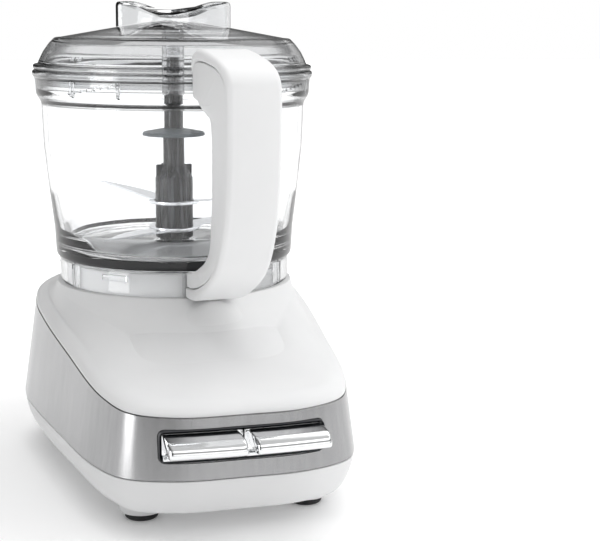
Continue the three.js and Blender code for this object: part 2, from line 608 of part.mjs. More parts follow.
add('bowl', makeBowl(), CLEAR);
add('handle_shell', makeHandleShell(), WHITE);
add('handle_liner', makeHandleLiner(), WHITE);
add('interlock_rod', makeRod(), NYLON);
add('rod_spring', makeRodSpring(), MACHINED);
add('lid', makeLid(), CLEAR);
add('lid_knob', makeKnob(), CLEAR);
add('blade_hub', makeHub(), DARK);
add('blade_lower', makeBlade(112, 35, 0), BLADE_STEEL);
add('blade_upper', makeBlade(126, 125, -8), BLADE_STEEL);

// The part's origin is the middle of its footprint, so the assembly moves back by half its depth.
const product = new THREE.Group();
const middle = new THREE.Box3().setFromObject(assembly).getCenter(new THREE.Vector3());
assembly.position.set(-middle.x, -middle.y, 0);
product.add(assembly);

export default product;
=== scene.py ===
"""A small food processor: white motor base with a brushed band, clear bowl with a handle, clear lid.

Shapes are drawn in millimetres about the bowl's axis, with the control panel facing -Y.
"""
import json
from math import cos, hypot, pi, radians, sin, sqrt, tan

import bmesh
import bpy
from mathutils import Matrix, Vector


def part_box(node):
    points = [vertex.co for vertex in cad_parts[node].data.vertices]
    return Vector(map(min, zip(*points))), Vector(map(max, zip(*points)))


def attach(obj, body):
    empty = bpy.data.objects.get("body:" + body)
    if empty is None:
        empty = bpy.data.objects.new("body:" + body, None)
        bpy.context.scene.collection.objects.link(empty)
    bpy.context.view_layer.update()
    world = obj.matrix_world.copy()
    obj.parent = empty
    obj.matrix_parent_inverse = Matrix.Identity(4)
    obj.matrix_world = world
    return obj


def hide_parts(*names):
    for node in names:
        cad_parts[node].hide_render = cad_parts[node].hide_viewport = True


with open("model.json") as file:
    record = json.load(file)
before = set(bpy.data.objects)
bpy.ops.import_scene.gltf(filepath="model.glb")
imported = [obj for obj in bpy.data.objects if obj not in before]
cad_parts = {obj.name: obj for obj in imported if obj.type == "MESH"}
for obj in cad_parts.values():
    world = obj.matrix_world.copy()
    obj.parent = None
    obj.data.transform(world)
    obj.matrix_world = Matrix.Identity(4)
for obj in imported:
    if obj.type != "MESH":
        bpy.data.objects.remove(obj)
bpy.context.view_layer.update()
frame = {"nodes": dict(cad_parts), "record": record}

# ------------------------------------------------------------------ driving dimensions
MM = 0.001
spindle_low, spindle_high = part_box("spindle")
AXIS = Vector(((spindle_low.x + spindle_high.x) / 2, (spindle_low.y + spindle_high.y) / 2, 0))

GAP = 0.3
FLOOR_Z = 9                      # underside of the housing
WALL = 2.5
BAND_Z0 = 26.9                   # lower edge of the steel band
BAND_FRONT_Z = 52.9              # its upper edge at the front and at the back
BAND_BACK_Z = 82
FRONT_Y = -144
BAND_BACK_Y = 68
LEAN = tan(radians(8))           # how far the band leans in, per unit of height
SHEET = 0.9
FRONT_ARC_R = 360                # plan radius of the gently bowed front
SEAT_R, SEAT_Z = 59.6, 88.4      # circle on the cover where the bowl stands
BOSS_R, BOSS_Z = 53, 100         # raised boss inside the bowl's skirt
RIM_R, RIM_Z = 70, 194.5         # the bowl's rim
DARK_RING_Z, DARK_RING_R = (101.7, 105.9), 58.4   # the dark ring round the bowl's base
DISC_Z, DISC_INNER_R = (160.4, 165.6), 5          # the grey disc on the blade's stem
HANDLE_TURN = radians(4.5)       # the locked handle stands a little past centre
HANDLE_HALF = 12.5
WINDOW = {"half": 36.9, "z0": 34.4, "z1": 48.8, "r": 3}
STEM_X, STEM_Z = 18.6, 41.6      # the paddles' stems
STEM_R, STEM_ENDS = 1.7, (-138, -123.5)
PADDLE_BACK = -3.5               # the paddles' back face, measured outward from the front
GLAND_Y, GLAND_Z = 73.4, 16      # the cord's inlet in the back wall
FEET = {"fl": (-38.4, -107), "fr": (38.4, -107), "bl": (-47, 34), "br": (47, 34)}
SCREWS = [(-44, -84), (44, -84), (-54, 12), (54, 12)]
HALF_PLAN = [(0, -144), (28, -142.8), (50, -133), (60, -112.5), (69, -57), (75, -8),
             (76, 16), (71, 43), (50, 66), (22, 73.5), (0, 74.2)]


def placed(point):
    """A point in millimetres about the bowl's axis, in the model's metres."""
    return AXIS + MM * Vector(point)


# ------------------------------------------------------------------ shading
class Shade:
    """A shader socket that Python's operators work on: each operator adds a Math node."""

    def __init__(self, tree, socket):
        self.tree, self.socket = tree, socket

    def math(self, operation, first, second):
        return self.tree.node("ShaderNodeMath", {"operation": operation}, {0: first, 1: second})

    def __add__(self, other):
        return self.math("ADD", self, other)

    def __sub__(self, other):
        return self.math("SUBTRACT", self, other)

    def __rsub__(self, other):
        return self.math("SUBTRACT", other, self)

    def __mul__(self, other):
        return self.math("MULTIPLY", self, other)

    def __pow__(self, other):
        return self.math("POWER", self, other)

    def __abs__(self):
        return self.math("ABSOLUTE", self, 0.0)

    def __or__(self, other):
        return self.math("MAXIMUM", self, other)

    __radd__ = __add__
    __rmul__ = __mul__


class Tree:
    """A node tree that is filled one node at a time."""

    def __init__(self, tree):
        self.tree = tree

    def feed(self, socket, value):
        if isinstance(value, Shade):
            self.tree.links.new(value.socket, socket)
        else:
            socket.default_value = value

    def node(self, kind, settings=None, values=None, out=0):
        made = self.tree.nodes.new(kind)
        for name, value in (settings or {}).items():
            setattr(made, name, value)
        for key, value in (values or {}).items():
            self.feed(made.inputs[key], value)
        return Shade(self, made.outputs[out])

    def ramp(self, value, low, high, bottom=0.0, top=1.0):
        """A smooth step from bottom to top as value goes from low to high."""
        return self.node("ShaderNodeMapRange", {"interpolation_type": "SMOOTHSTEP"},
                         {"Value": value, "From Min": low, "From Max": high,
                          "To Min": bottom, "To Max": top})

    def blend(self, mask, low, high):
        """One colour changing into another where the mask goes from 0 to 1."""
        ends = [c if isinstance(c, Shade) else (*c, 1.0) for c in (low, high)]
        return self.node("ShaderNodeMix", {"data_type": "RGBA"}, {0: mask, 6: ends[0], 7: ends[1]}, out=2)


class Finish(Tree):
    """A node material for one of the object's finishes, with the shader's fixed values."""

    def __init__(self, name, slot, fixed):
        self.material = bpy.data.materials.new(name)
        self.material.use_nodes = True
        super().__init__(self.material.node_tree)
        self.slot = slot
        self.shader = self.tree.nodes["Principled BSDF"]
        self.place = self.node("ShaderNodeTexCoord", out="Object")
        for socket, value in fixed.items():
            self.set(socket, value)

    def set(self, socket, value):
        self.feed(self.shader.inputs[socket], value)

    def scaled(self, size, stretch):
        factors = [1 / (size * MM * s) for s in stretch]
        return self.node("ShaderNodeVectorMath", {"operation": "MULTIPLY"}, {0: self.place, 1: factors})

    def grain(self, size, stretch=(1, 1, 1), detail=3.0):
        """Noise with features about size millimetres across, drawn out by stretch."""
        return self.node("ShaderNodeTexNoise", None,
                         {"Vector": self.scaled(size, stretch), "Scale": 1.0, "Detail": detail})

    def height(self):
        """Height above the table in millimetres."""
        split = self.node("ShaderNodeSeparateXYZ", None, {0: self.place}, out=2)
        return split * (1 / MM)

    def edge(self, blend=0.5):
        """1 where the surface is seen edge on, 0 where it is seen square."""
        return self.node("ShaderNodeLayerWeight", None, {"Blend": blend}, out="Facing")

    def relief(self, height, depth):
        """Bump of a depth in millimetres."""
        self.set("Normal", self.node("ShaderNodeBump", None, {"Distance": depth * MM, "Height": height}))


def moulded_white():
    f = Finish("moulded white", "white_plastic", {"Coat Weight": 0.06, "Coat Roughness": 0.25,
                                                 "Specular IOR Level": 0.25, "IOR": 1.46})
    cloud = f.grain(26, detail=2)
    f.set("Base Color", f.blend(cloud, (0.80, 0.805, 0.81), (0.855, 0.855, 0.855)))
    f.set("Roughness", 0.36 + 0.14 * f.grain(3.5))
    f.relief(f.grain(0.7, detail=2), 0.004)
    return f


def brushed_steel():
    f = Finish("upright brushed steel", "brushed_band", {"Metallic": 1.0})
    hair = f.grain(0.16, (1, 1, 220), detail=4)
    broad = f.grain(2.4, (1, 1, 60), detail=2)
    f.set("Base Color", f.blend(0.6 * hair + 0.4 * broad, (0.27, 0.27, 0.274), (0.50, 0.50, 0.505)))
    f.set("Roughness", 0.17 + 0.1 * hair)
    f.relief(hair, 0.012)
    return f


def chrome_plate():
    f = Finish("chrome plate", "chrome_key", {"Metallic": 1.0})
    haze = f.grain(6)
    f.set("Base Color", f.blend(haze, (0.84, 0.85, 0.86), (0.93, 0.935, 0.94)))
    f.set("Roughness", 0.035 + 0.05 * haze)
    f.relief(f.grain(4, detail=1), 0.01)
    return f


# Painted dark lines in the clear plastic's colour at the steps in the lid and bowl, standing for the dark
# edges that these steps show: height, half width, strength.
PAINTED_DARK_LINES = [(210.2, 0.9, 0.93), (196.9, 0.8, 0.9), (193.9, 0.8, 0.85), (191.0, 0.7, 0.85),
              (179.6, 1.1, 0.97)]


def clear_plastic():
    f = Finish("clear plastic", "clear_plastic", {"Transmission Weight": 1.0, "IOR": 1.46})
    face, clearer = (0.93, 0.937, 0.943), (0.965, 0.969, 0.973)
    # rim: the near black of the painted dark outlines and lines.
    greyer_tint, rim = (0.86, 0.866, 0.872), (0.004, 0.0045, 0.005)
    level = f.height()
    # Painted shade: dark lines at the heights of the lid's and bowl's steps.
    lines = 0.0
    for z, half, strength in PAINTED_DARK_LINES:
        lines = lines + f.ramp(abs(level - z), 0.4 * half, half, strength, 0.0)
    # Painted shade: the clear plastic darkens where it is seen edge on, more strongly between about 178 and
    # 209 mm up, standing for the dark outlines of its walls.
    edge_shade_band = f.ramp(level, 178, 180) * f.ramp(level, 207, 209, 1.0, 0.0)
    ends = 0.9 * edge_shade_band * f.ramp(f.edge(), 0.45, 0.8)
    dark = (f.ramp(f.edge(), 0.8, 0.93) | ends) | lines
    # Above about 180 mm the clear plastic takes a greyer tint.
    lid_side = f.ramp(level, 178, 182)
    tint = f.blend(lid_side, f.blend(f.grain(18, detail=1), face, clearer), greyer_tint)
    # The base colour carries the painted dark outlines and lines.
    f.set("Base Color", f.blend(dark, tint, rim))
    f.set("Roughness", 0.012 + 0.02 * f.grain(5))
    f.relief(f.grain(12, detail=1), 0.03)
    return f


def ground_steel():
    f = Finish("ground blade steel", "blade_steel", {"Metallic": 1.0})
    lines = f.grain(0.5, (30, 1, 30), detail=3)
    f.set("Base Color", f.blend(lines, (0.62, 0.63, 0.65), (0.82, 0.83, 0.85)))
    f.set("Roughness", 0.14 + 0.14 * lines)
    f.relief(lines, 0.008)
    return f


def drawn_black():
    """A near black moulding with upright flow lines."""
    f = Finish("stem black", "dark_plastic", {"IOR": 1.4})
    streak = f.grain(1.5, (1, 1, 26), detail=3)
    f.set("Base Color", f.blend(f.ramp(streak, 0.46, 0.66), (0.002, 0.002, 0.0025), (0.06, 0.064, 0.07)))
    f.set("Roughness", 0.16 + 0.2 * streak)
    f.relief(streak, 0.03)
    return f


def plain_metal(name, slot, low, high, rough, size=1.2):
    f = Finish(name, slot, {"Metallic": 1.0})
    turned_lines = f.grain(size, (12, 12, 1))
    f.set("Base Color", f.blend(turned_lines, low, high))
    f.set("Roughness", rough + 0.14 * f.grain(size * 3))
    f.relief(turned_lines, 0.01)
    return f


def plain_plastic(name, slot, low, high, rough, depth=0.02, size=0.8):
    f = Finish(name, slot, {"IOR": 1.48})
    f.set("Base Color", f.blend(f.grain(14, detail=2), low, high))
    f.set("Roughness", rough + 0.14 * f.grain(4))
    f.relief(f.grain(size), depth)
    return f


FINISHES = {
    "white_plastic": moulded_white(),
    "brushed_band": brushed_steel(),
    "chrome_key": chrome_plate(),
    "clear_plastic": clear_plastic(),
    "blade_steel": ground_steel(),
    "machined_steel": plain_metal("machined steel", "machined_steel",
                                  (0.42, 0.43, 0.45), (0.6, 0.61, 0.63), 0.3),
    "dark_plastic": plain_plastic("dark moulding", "dark_plastic",
                                  (0.028, 0.03, 0.033), (0.05, 0.053, 0.058), 0.34),
    "black_rubber": plain_plastic("black rubber", "black_rubber",
                                  (0.012, 0.012, 0.013), (0.03, 0.03, 0.031), 0.68, 0.05),
    "copper": plain_metal("enamelled copper", "copper", (0.5, 0.22, 0.1), (0.72, 0.38, 0.2), 0.3, 0.4),
    "brass": plain_metal("turned brass", "brass", (0.62, 0.44, 0.18), (0.8, 0.62, 0.3), 0.26),
    "board": plain_plastic("circuit board", "board", (0.02, 0.13, 0.06), (0.04, 0.22, 0.1), 0.36),
    "nylon": plain_plastic("natural nylon", "nylon", (0.74, 0.71, 0.62), (0.84, 0.82, 0.75), 0.38),
}
BASE_RING = plain_plastic("dark base ring", "clear_plastic",
                          (0.008, 0.008, 0.009), (0.016, 0.016, 0.017), 0.06, 0.004)
WHITE, BAND, CHROME = (FINISHES[s] for s in ("white_plastic", "brushed_band", "chrome_key"))
CLEAR, BLADE, STEEL = (FINISHES[s] for s in ("clear_plastic", "blade_steel", "machined_steel"))
DISC = plain_plastic("grey hub disc", "dark_plastic", (0.07, 0.085, 0.095), (0.11, 0.13, 0.14), 0.28)
STEM = drawn_black()
DARK, RUBBER = FINISHES["dark_plastic"], FINISHES["black_rubber"]


# ------------------------------------------------------------------ curves and outlines
def spline(points, per_span, closed=False):
    """Points on a smooth curve through all the given ones, of any dimension."""
    count = len(points)
    spans = count if closed else count - 1
    at = (lambda i: points[i % count]) if closed else (lambda i: points[max(0, min(count - 1, i))])
    made = []
    for k in range(spans):
        p = [at(k - 1), at(k), at(k + 1), at(k + 2)]
        knots = [0.0]
        for a, b in zip(p, p[1:]):
            step = sqrt(sqrt(sum((u - v) ** 2 for u, v in zip(a, b))))
            knots.append(knots[-1] + max(step, 1e-4))

        def tangent(i, j, m):
            return [((b - a) / (knots[j] - knots[i]) - (c - a) / (knots[m] - knots[i])
                     + (c - b) / (knots[m] - knots[j])) * (knots[2] - knots[1])
                    for a, b, c in zip(p[i], p[j], p[m])]

        start, stop = tangent(0, 1, 2), tangent(1, 2, 3)
        for s in range(per_span):
            t = s / per_span
            h = (2 * t**3 - 3 * t**2 + 1, t**3 - 2 * t**2 + t, 3 * t**2 - 2 * t**3, t**3 - t**2)
            made.append(tuple(h[0] * a + h[1] * m + h[2] * b + h[3] * n
                              for a, m, b, n in zip(p[1], start, p[2], stop)))
    if not closed:
        made.append(tuple(points[-1]))
    return made


def evenly(points, count):
    """A closed line of points cut into equal lengths."""
    loop = points + [points[0]]
    lengths = [0.0]
    for a, b in zip(loop, loop[1:]):
        lengths.append(lengths[-1] + hypot(b[0] - a[0], b[1] - a[1]))
    made, k = [], 0
    for i in range(count):
        goal = lengths[-1] * i / count
        while lengths[k + 1] < goal:
            k += 1
        t = (goal - lengths[k]) / (lengths[k + 1] - lengths[k])
        made.append(tuple(a + (b - a) * t for a, b in zip(loop[k], loop[k + 1])))
    return made


def rounded(points, radius, closed=True, steps=5):
    """An outline with its corners turned into curves that start about radius before them."""
    made = []
    count = len(points)
    for i, p in enumerate(points):
        if not closed and i in (0, count - 1):
            made.append(p)
            continue
        before, after = points[i - 1], points[(i + 1) % count]
        reach = [min(radius, 0.45 * hypot(q[0] - p[0], q[1] - p[1])) for q in (before, after)]
        a, b = [tuple(c + (d - c) * r / max(hypot(q[0] - p[0], q[1] - p[1]), 1e-9) for c, d in zip(p, q))
                for q, r in zip((before, after), reach)]
        for s in range(steps + 1):
            t = s / steps
            made.append(tuple((1 - t) ** 2 * u + 2 * t * (1 - t) * v + t * t * w for u, v, w in zip(a, p, b)))
    return made


def rounded_rect(half, z0, z1, radius, steps=8):
    """A rectangle in [x, z] with round corners."""
    made = []
    for cx, cz, start in ((half - radius, z1 - radius, 0), (radius - half, z1 - radius, 90),
                          (radius - half, z0 + radius, 180), (half - radius, z0 + radius, 270)):
        for s in range(steps + 1):
            a = radians(start + 90 * s / steps)
            made.append((cx + radius * cos(a), cz + radius * sin(a)))
    return made


# ------------------------------------------------------------------ meshes
def lathe(profile, sides=160):
    """Points and faces of a solid of revolution from [r, z]; off the axis the profile closes on itself."""
    rings = [[(r * cos(2 * pi * k / sides), r * sin(2 * pi * k / sides), z) for k in range(sides)]
             for r, z in profile]
    return skin(rings, closed=profile[0][0] > 0)


def skin(rings, closed=False, capped=True):
    """Points and faces over rings of equal length, closed on themselves or capped at both ends."""
    n = len(rings[0])
    points = [p for ring in rings for p in ring]
    faces = []
    for k in range(len(rings) if closed else len(rings) - 1):
        a, b = k * n, (k + 1) % len(rings) * n
        faces += [(a + i, a + (i + 1) % n, b + (i + 1) % n, b + i) for i in range(n)]
    if capped and not closed:
        last = (len(rings) - 1) * n
        faces += [tuple(range(n))[::-1], tuple(range(last, last + n))]
    return points, faces


def together(*shapes):
    """Several shapes as one list of points and faces."""
    points, faces = [], []
    for p, f in shapes:
        faces += [tuple(i + len(points) for i in face) for face in f]
        points += list(p)
    return points, faces


def turned_about_z(shape, angle):
    c, s = cos(angle), sin(angle)
    return [(x * c - y * s, x * s + y * c, z) for x, y, z in shape[0]], shape[1]


def block(x0, x1, y0, y1, z0, z1, edge=0.4):
    """A slab with its upright edges and its top and bottom edges eased."""
    def ring(inset, z):
        left, right, front, back = x0 + inset, x1 - inset, y0 + inset, y1 - inset
        corners = [(left, front), (right, front), (right, back), (left, back)]
        return [(x, y, z) for x, y in rounded(corners, edge, steps=2)]
    return skin([ring(edge, z0), ring(0, z0 + edge), ring(0, z1 - edge), ring(edge, z1)])


def piece(name, shape, finish, body, stands_for=(), crisp=32):
    """A finished mesh that rides on a body and stands for CAD nodes."""
    mesh = bpy.data.meshes.new(name)
    mesh.from_pydata([placed(p) for p in shape[0]], [], shape[1])
    work = bmesh.new()
    work.from_mesh(mesh)
    bmesh.ops.remove_doubles(work, verts=work.verts, dist=1e-6)
    bmesh.ops.dissolve_degenerate(work, edges=work.edges, dist=1e-7)
    bmesh.ops.recalc_face_normals(work, faces=work.faces)
    work.to_mesh(mesh)
    work.free()
    shade(mesh, crisp)
    made = bpy.data.objects.new(name, mesh)
    bpy.context.scene.collection.objects.link(made)
    mesh.materials.append(finish.material)
    if body:
        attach(made, body)
        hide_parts(*stands_for)
    return made


def shade(mesh, crisp):
    mesh.polygons.foreach_set("use_smooth", [True] * len(mesh.polygons))
    mesh.set_sharp_from_angle(angle=radians(crisp))


def recolour(target, finish, low, high, radius):
    """Gives a second finish to the faces between two heights and beyond a radius from the bowl's axis."""
    target.data.materials.append(finish.material)
    for face in target.data.polygons:
        if low * MM < face.center.z < high * MM and (face.center - AXIS).xy.length > radius * MM:
            face.material_index = 1


def carve(target, *shapes, crisp=32):
    """Cuts shapes out of a piece and keeps the result as its mesh."""
    cutter = piece("cutter", together(*shapes), DARK, None)
    cut = target.modifiers.new("cut", "BOOLEAN")
    cut.operation, cut.solver, cut.object = "DIFFERENCE", "EXACT", cutter
    solved = bpy.data.meshes.new_from_object(target.evaluated_get(bpy.context.evaluated_depsgraph_get()))
    target.modifiers.remove(cut)
    bpy.data.objects.remove(cutter)
    target.data = solved
    shade(solved, crisp)


# ------------------------------------------------------------------ the base's outline
PLAN_COUNT = 240
plan = evenly(spline(HALF_PLAN + [(-x, y) for x, y in HALF_PLAN[-2:0:-1]], 24, closed=True), PLAN_COUNT)
plan_normal = []
for before, after in zip(plan[-1:] + plan[:-1], plan[1:] + plan[:1]):
    tx, ty = after[0] - before[0], after[1] - before[1]
    plan_normal.append((ty / hypot(tx, ty), -tx / hypot(tx, ty)))


def band_top(y):
    return BAND_FRONT_Z + (y - FRONT_Y) * (BAND_BACK_Z - BAND_FRONT_Z) / (BAND_BACK_Y - FRONT_Y)


def lean(z):
    return max(0.0, z - BAND_Z0) * LEAN


def plan_ring(inset, height):
    """The base's outline moved in by inset, at a height that may depend on y."""
    level = height if callable(height) else (lambda y: height)
    ring = []
    for (x, y), (nx, ny) in zip(plan, plan_normal):
        moved = inset + lean(level(y - ny * inset))
        ring.append((x - nx * moved, y - ny * moved, level(y - ny * moved)))
    return ring


def circle_ring(r, z):
    """A circle with its points in the same directions as the base's outline."""
    return [(r * x / hypot(x, y), r * y / hypot(x, y), z) for x, y in plan]


def mixed(a, b, t, drop=0.0):
    return [(p[0] + (q[0] - p[0]) * t, p[1] + (q[1] - p[1]) * t,
             p[2] + (q[2] - p[2]) * t - drop * hypot(p[0] - q[0], p[1] - q[1])) for p, q in zip(a, b)]


def softened(rings, per_span=4):
    """Extra rings on smooth curves through the given ones."""
    columns = [spline([ring[i] for ring in rings], per_span) for i in range(len(rings[0]))]
    return [list(ring) for ring in zip(*columns)]


def front_y(x, z=41.5):
    return FRONT_Y + lean(z) + x * x / (2 * FRONT_ARC_R)


def on_front(outline, out):
    """An [x, z] outline laid on the bowed front, standing out by a distance."""
    return [(x, front_y(x) - out, z) for x, z in outline]


def window(grow, steps=8):
    """The paddles' opening, grown by a margin, with extra points along its long sides."""
    w = WINDOW
    corners = rounded_rect(w["half"] + grow, w["z0"] - grow, w["z1"] + grow, max(0.6, w["r"] + grow), steps)
    made = []
    for (x, z), (nx, nz) in zip(corners, corners[1:] + corners[:1]):
        spans = max(1, round(abs(nx - x) / 5))
        made += [(x + (nx - x) * s / spans, z + (nz - z) * s / spans) for s in range(spans)]
    return made


# ------------------------------------------------------------------ base
def make_housing():
    outside = [(24, FLOOR_Z), (15, FLOOR_Z + 0.02), (10.6, FLOOR_Z + 0.2), (7.8, FLOOR_Z + 1.1),
               (5.6, FLOOR_Z + 3), (3.8, 14.8), (2.4, 17.8), (1.35, 20.8), (0.65, 23.6),
               (0.25, BAND_Z0 - 0.9)]
    behind = SHEET + GAP
    rings = softened([plan_ring(inset, z) for inset, z in outside])
    rings += [plan_ring(0.35, BAND_Z0 - 0.45), plan_ring(0.7, BAND_Z0 - GAP),
              plan_ring(behind, BAND_Z0 - GAP), plan_ring(behind, lambda y: band_top(y) - 1),
              plan_ring(behind + WALL, lambda y: band_top(y) - 1), plan_ring(behind + WALL, BAND_Z0),
              plan_ring(3.8 + WALL, 16), plan_ring(17.5, FLOOR_Z + WALL)]
    boss = [(0, 3.2), (8.8, 3.2), (9.6, 3.5), (10, 4.4), (10.5, 7.2), (11.4, 8.8),
            (13.4, 10), (13.4, 11), (0, 11)]
    bosses = [([(px + x, py + y, pz) for px, py, pz in points], faces)
              for x, y in FEET.values() for points, faces in [lathe(boss, 48)]]
    made = piece("base_housing", together(skin(rings), *bosses), WHITE, "base", ["housing"])
    holes = [block(x - 3.4, x + 3.4, y - 3.4, y + 3.4, 3, 14, 3.2) for x, y in SCREWS]
    opening = skin([on_front(window(0), 6), on_front(window(0), -22)])
    carve(made, opening, *holes)


def make_band():
    profile = [(0, BAND_Z0 + 0.25), (0.25, BAND_Z0), (SHEET, BAND_Z0)]
    rings = [plan_ring(inset, z) for inset, z in profile]
    rings += [plan_ring(SHEET, band_top), plan_ring(0.3, band_top), plan_ring(0, lambda y: band_top(y) - 0.3)]
    for t in (0.67, 0.33):
        rings.append(plan_ring(0, lambda y, t=t: (band_top(y) - 0.3) * t + (BAND_Z0 + 0.25) * (1 - t)))
    made = piece("brushed_band", skin(rings, closed=True), BAND, "base", ["steel_band"])
    carve(made, skin([on_front(window(0.1), 6), on_front(window(0.1), -12)]))


def make_cover():
    def edge(inset, up):
        return plan_ring(inset, lambda y: band_top(y) + up)

    seat = circle_ring(SEAT_R, SEAT_Z)
    shoulder = edge(5.5, 5)
    crease = mixed(seat, shoulder, 0.27, 0.14)
    panel = [mixed(crease, shoulder, t) for t in (0.85, 0.6, 0.35, 0.12, 0.03)]
    cone = [mixed(seat, crease, t) for t in (0.97, 0.85, 0.6, 0.3, 0.06)]
    outside = softened([edge(0.1, GAP), edge(0.12, 1.1), edge(0.7, 2.3), edge(2.2, 3.7), shoulder,
                        *panel, *cone, seat])
    seat_ring = [circle_ring(SEAT_R - 0.8, SEAT_Z + 0.2), circle_ring(BOSS_R + 2, SEAT_Z + 0.1),
                 circle_ring(BOSS_R + 0.6, SEAT_Z + 0.4), circle_ring(BOSS_R, SEAT_Z + 1.2)]
    boss = [(BOSS_R, BOSS_Z - 2), (BOSS_R - 0.5, BOSS_Z - 0.6), (BOSS_R - 2, BOSS_Z), (30, BOSS_Z),
            (28.6, BOSS_Z - 0.8), (16, BOSS_Z - 0.8), (14.6, BOSS_Z), (8.4, BOSS_Z), (8.4, BOSS_Z - 7),
            (BOSS_R - 4, BOSS_Z - 7), (BOSS_R - 4, SEAT_Z - 4)]
    inner_edge = edge(3.6, 0.5)
    inside = mixed(inner_edge, [(0, 0, inner_edge[0][2])] * PLAN_COUNT, 0.05)
    skirt = [edge(SHEET + GAP + WALL, -0.7), edge(SHEET + GAP, -0.7), edge(SHEET + GAP, GAP)]
    rings = outside + seat_ring + [circle_ring(r, z) for r, z in boss] + [inside] + skirt
    made = piece("cover", skin(rings, closed=True), WHITE, "base", ["top_cover"], crisp=40)
    turn = HANDLE_TURN - pi / 2
    carve(made, turned_about_z(block(60.5, 64.5, -2.3, 2.3, 62, 96), turn), crisp=40)


def make_landing():
    """A soft rise of the cover up to the handle's foot, with the slot for the interlock pin."""
    def cone(r):
        return SEAT_Z - 0.6 - 0.83 * (r - SEAT_R)

    steps, spread, length = 16, radians(15), 13
    radii = [SEAT_R + 0.3 + length * j / steps for j in range(steps + 1)]
    rings = []
    for k in range(2 * steps + 1):
        u = -1 + k / steps
        a = HANDLE_TURN - pi / 2 + u * spread
        ring = [(r * cos(a), r * sin(a), cone(r) - 4) for r in reversed(radii)]
        for r in radii:
            reach = min(1.0, max(0.0, (72.5 - r) / 7))
            rise = (1 - u * u) ** 2 * reach * reach * (3 - 2 * reach)
            ring.append((r * cos(a), r * sin(a), cone(r) - 0.9 + rise * (SEAT_Z + 0.7 - cone(r))))
        rings.append(ring)
    made = piece("handle_landing", skin(rings), WHITE, "base", ["top_cover"], crisp=60)
    carve(made, turned_about_z(block(60.3, 64.7, -2.4, 2.4, 60, 96), HANDLE_TURN - pi / 2), crisp=60)


def make_feet():
    profile = rounded([(0, 0), (6.6, 0), (7.4, 0.7), (7.7, 2.1), (7.2, 2.5), (7.8, 3),
                       (8, 4.6), (0, 4.6)], 0.3, False, 3)
    profile = [(max(0.0, r), z) for r, z in profile]
    for name, (x, y) in FEET.items():
        points, faces = lathe(profile, 64)
        shape = [(px + x, py + y, pz) for px, py, pz in points], faces
        piece("rubber_foot_" + name, shape, RUBBER, "base", ["foot_" + name])


def make_gland():
    profile = [(3.2, -9), (5, -9), (5, -0.4), (7.2, -0.4), (7.5, 0), (6.6, 1.6), (5.6, 2),
               (5.2, 2.5), (3.6, 2.6), (3.2, 2.2)]
    points, faces = lathe(rounded(profile, 0.4, steps=3), 64)
    shape = [(x, GLAND_Y + z, GLAND_Z + y) for x, y, z in points], faces
    piece("cord_inlet", shape, RUBBER, "base", ["cord_gland"])


# ------------------------------------------------------------------ paddles
def along_front(section, x0, x1, ends=0.5, stations=18):
    """A closed [outward, z] section swept along the bowed front, with eased ends."""
    mid_out = sum(p[0] for p in section) / len(section)
    mid_z = sum(p[1] for p in section) / len(section)
    rings = []
    side = 1 if x1 > x0 else -1
    stops = [(x0, 0.88), (x0 + side * 0.3 * ends, 0.96), (x0 + side * ends, 1.0)]
    stops += [(x0 + (x1 - x0) * k / stations, 1.0) for k in range(1, stations)]
    stops += [(x1 - side * ends, 1.0), (x1 - side * 0.3 * ends, 0.96), (x1, 0.88)]
    for x, size in stops:
        rings.append([(x, front_y(x) - (mid_out + (out - mid_out) * size), mid_z + (z - mid_z) * size)
                      for out, z in section])
    return skin(rings)


def bar_along_y(x, z, r, y0, y1, sides=32):
    ring = [(x + r * cos(2 * pi * k / sides), z + r * sin(2 * pi * k / sides)) for k in range(sides)]
    return skin([[(px, y, pz) for px, pz in ring] for y in (y0, y1)])


def make_paddles():
    barrel = rounded([(PADDLE_BACK, 40.2), (12.8, 40.1), (15.8, 40.7), (16.3, 42.7), (15.2, 45.2),
                      (11.6, 46.7), (5.8, 47.1), (PADDLE_BACK, 47.2)], 1.3, steps=6)
    lip = rounded([(PADDLE_BACK, 35.8), (1.6, 35.8), (2.5, 36.4), (2.3, 37.6), (-0.6, 38),
                   (-0.8, 47.4), (PADDLE_BACK, 47.4)], 0.5, steps=4)
    for name, side in (("chop", -1), ("grind", 1)):
        shape = together(along_front(barrel, side * 2.2, side * 35.2, 0.9),
                         along_front(lip, side * 0.35, side * 35.4, 0.3),
                         bar_along_y(side * STEM_X, STEM_Z, STEM_R, *STEM_ENDS))
        piece(name + "_key", shape, CHROME, name, [name + "_paddle"], crisp=50)


def make_bezel():
    steps = [(-0.15, -2.5), (-0.15, 0.0), (-0.25, 0.15), (-0.4, 0.2), (-0.55, 0.1),
             (-0.7, -0.3), (-0.8, -11.6)]
    rings = [on_front(window(grow), out) for grow, out in steps]
    back = [on_front(window(-1.8), -11.9)]
    outer = [on_front(window(-0.4), -13.4)]
    piece("paddle_recess", skin([outer[0]] + rings + back), DARK, "base", ["button_bezel"], crisp=50)


# ------------------------------------------------------------------ bowl
def sector(profile, a0, a1, steps=6):
    """A closed [r, z] profile swept through part of a turn, from angle a0 to a1 in degrees."""
    rings = []
    for s in range(steps + 1):
        a = radians(a0 + (a1 - a0) * s / steps)
        rings.append([(r * cos(a), r * sin(a), z) for r, z in profile])
    return skin(rings)


